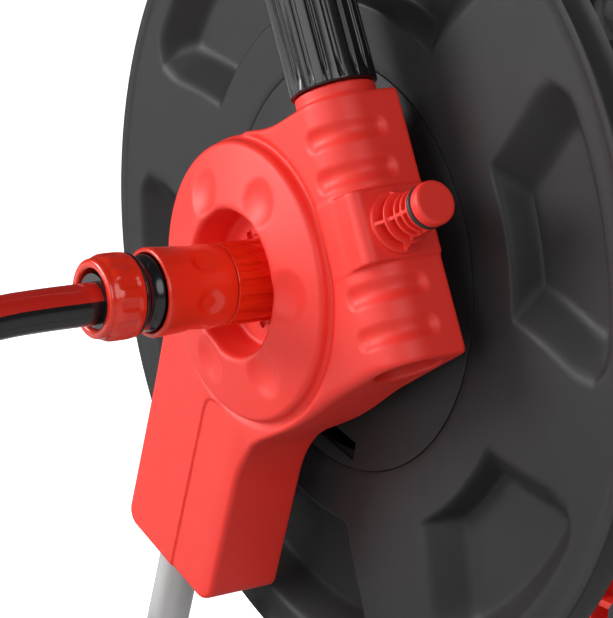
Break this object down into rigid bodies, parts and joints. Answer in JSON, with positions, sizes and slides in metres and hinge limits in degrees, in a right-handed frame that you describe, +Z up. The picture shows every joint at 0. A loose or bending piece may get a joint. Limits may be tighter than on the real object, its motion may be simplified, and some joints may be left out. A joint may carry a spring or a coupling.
{
  "type": "garden hose reel cart",
  "caption": "Two-wheeled hose reel cart: tube frame with moulded side brackets, crank-wound drum, telescopic push handle, water inlet with supply hose.",
  "frame": {"origin": "on the ground, under the middle of the cart's box without its supply hose", "axes": "+Z up; the drum and wheels turn about X, water inlet at -X, crank at +X; feet in front at -Y, wheels and handle behind at +Y"},
  "size_m": [0.8844, 0.4609, 0.9396],
  "materials": {
    "red_plastic": "matte",
    "gloss_red": "gloss",
    "black_plastic": "satin",
    "drum_plastic": "matte",
    "white_plastic": "matte",
    "grey_tube": "satin",
    "steel": "satin",
    "foam": "matte",
    "seal_rubber": "satin",
    "tyre_rubber": "matte",
    "hose_vinyl": "satin"
  },
  "bodies": {
    "stand": {"left_bracket": "red_plastic", "right_bracket": "red_plastic", "left_inner_cover": "red_plastic", "right_inner_cover": "red_plastic", "cover_screws": "steel", "left_collet": "black_plastic", "right_collet": "black_plastic", "left_leg_tube": "grey_tube", "right_leg_tube": "grey_tube", "base_tube": "grey_tube", "left_foot": "black_plastic", "right_foot": "black_plastic", "left_wheel_bracket": "black_plastic", "right_wheel_bracket": "black_plastic", "axle": "steel", "left_axle_cap": "black_plastic", "right_axle_cap": "black_plastic", "left_wheel_spacer": "black_plastic", "right_wheel_spacer": "black_plastic", "left_bearing": "white_plastic", "right_bearing": "white_plastic", "nozzle_peg": "red_plastic", "peg_seal": "seal_rubber", "inlet_nipple": "black_plastic", "inlet_nut": "gloss_red", "inlet_seal": "seal_rubber", "connector_body": "black_plastic", "connector_ring": "black_plastic", "connector_nut": "gloss_red", "connector_collet": "black_plastic", "hose_lead": "hose_vinyl", "hose_coil": "hose_vinyl", "hose_tail": "hose_vinyl", "tap_connector_body": "black_plastic", "tap_connector_nut": "gloss_red"},
    "handle": {"handle_tube": "grey_tube", "handle_grip": "foam", "left_glide_bush": "black_plastic", "right_glide_bush": "black_plastic"},
    "left_lock": {"left_collar": "black_plastic"},
    "right_lock": {"right_collar": "black_plastic"},
    "left_wheel": {"left_tyre": "tyre_rubber", "left_wheel_rim": "red_plastic"},
    "right_wheel": {"right_tyre": "tyre_rubber", "right_wheel_rim": "red_plastic"},
    "drum": {"barrel": "drum_plastic", "left_flange": "drum_plastic", "right_flange": "drum_plastic", "left_drum_cap": "drum_plastic", "right_drum_cap": "drum_plastic", "water_shaft": "white_plastic", "outlet_elbow": "white_plastic", "crank_shaft": "white_plastic", "crank_arm": "red_plastic", "crank_screw": "steel", "knob_spindle": "steel"},
    "knob": {"crank_knob": "black_plastic"},
    "release_sleeve": {"connector_sleeve": "gloss_red"},
    "tap_release_sleeve": {"tap_connector_sleeve": "gloss_red"}
  },
  "joints": [
    {"name": "drum_spin", "type": "hinge", "parent": "stand", "child": "drum", "pos_m": [-0.0225, 0, 0.34], "axis": [1, 0, 0], "continuous": true},
    {"name": "knob_spin", "type": "hinge", "parent": "drum", "child": "knob", "pos_m": [0.2275, 0, 0.23], "axis": [1, 0, 0], "continuous": true},
    {"name": "left_wheel_spin", "type": "hinge", "parent": "stand", "child": "left_wheel", "pos_m": [-0.2165, 0.143, 0.076], "axis": [1, 0, 0], "continuous": true},
    {"name": "right_wheel_spin", "type": "hinge", "parent": "stand", "child": "right_wheel", "pos_m": [0.1715, 0.143, 0.076], "axis": [1, 0, 0], "continuous": true},
    {"name": "handle_slide", "type": "slide", "parent": "stand", "child": "handle", "axis": [0, 0.4384, 0.8988], "range_m": [-0.25, 0]},
    {"name": "left_lock_twist", "type": "hinge", "parent": "stand", "child": "left_lock", "pos_m": [-0.1818, -0.0208, 0.44472], "axis": [0, 0.4384, 0.8988], "range_deg": [0, 90]},
    {"name": "right_lock_twist", "type": "hinge", "parent": "stand", "child": "right_lock", "pos_m": [0.1368, -0.0208, 0.44472], "axis": [0, 0.4384, 0.8988], "range_deg": [0, 90]},
    {"name": "sleeve_pull", "type": "slide", "parent": "stand", "child": "release_sleeve", "axis": [-1, 0, 0], "range_m": [0, 0.005], "stiffness_N_per_m": 800, "springref_m": -0.003},
    {"name": "tap_sleeve_pull", "type": "slide", "parent": "stand", "child": "tap_release_sleeve", "axis": [0, -1, 0], "range_m": [0, 0.005], "stiffness_N_per_m": 800, "springref_m": -0.003}
  ]
}
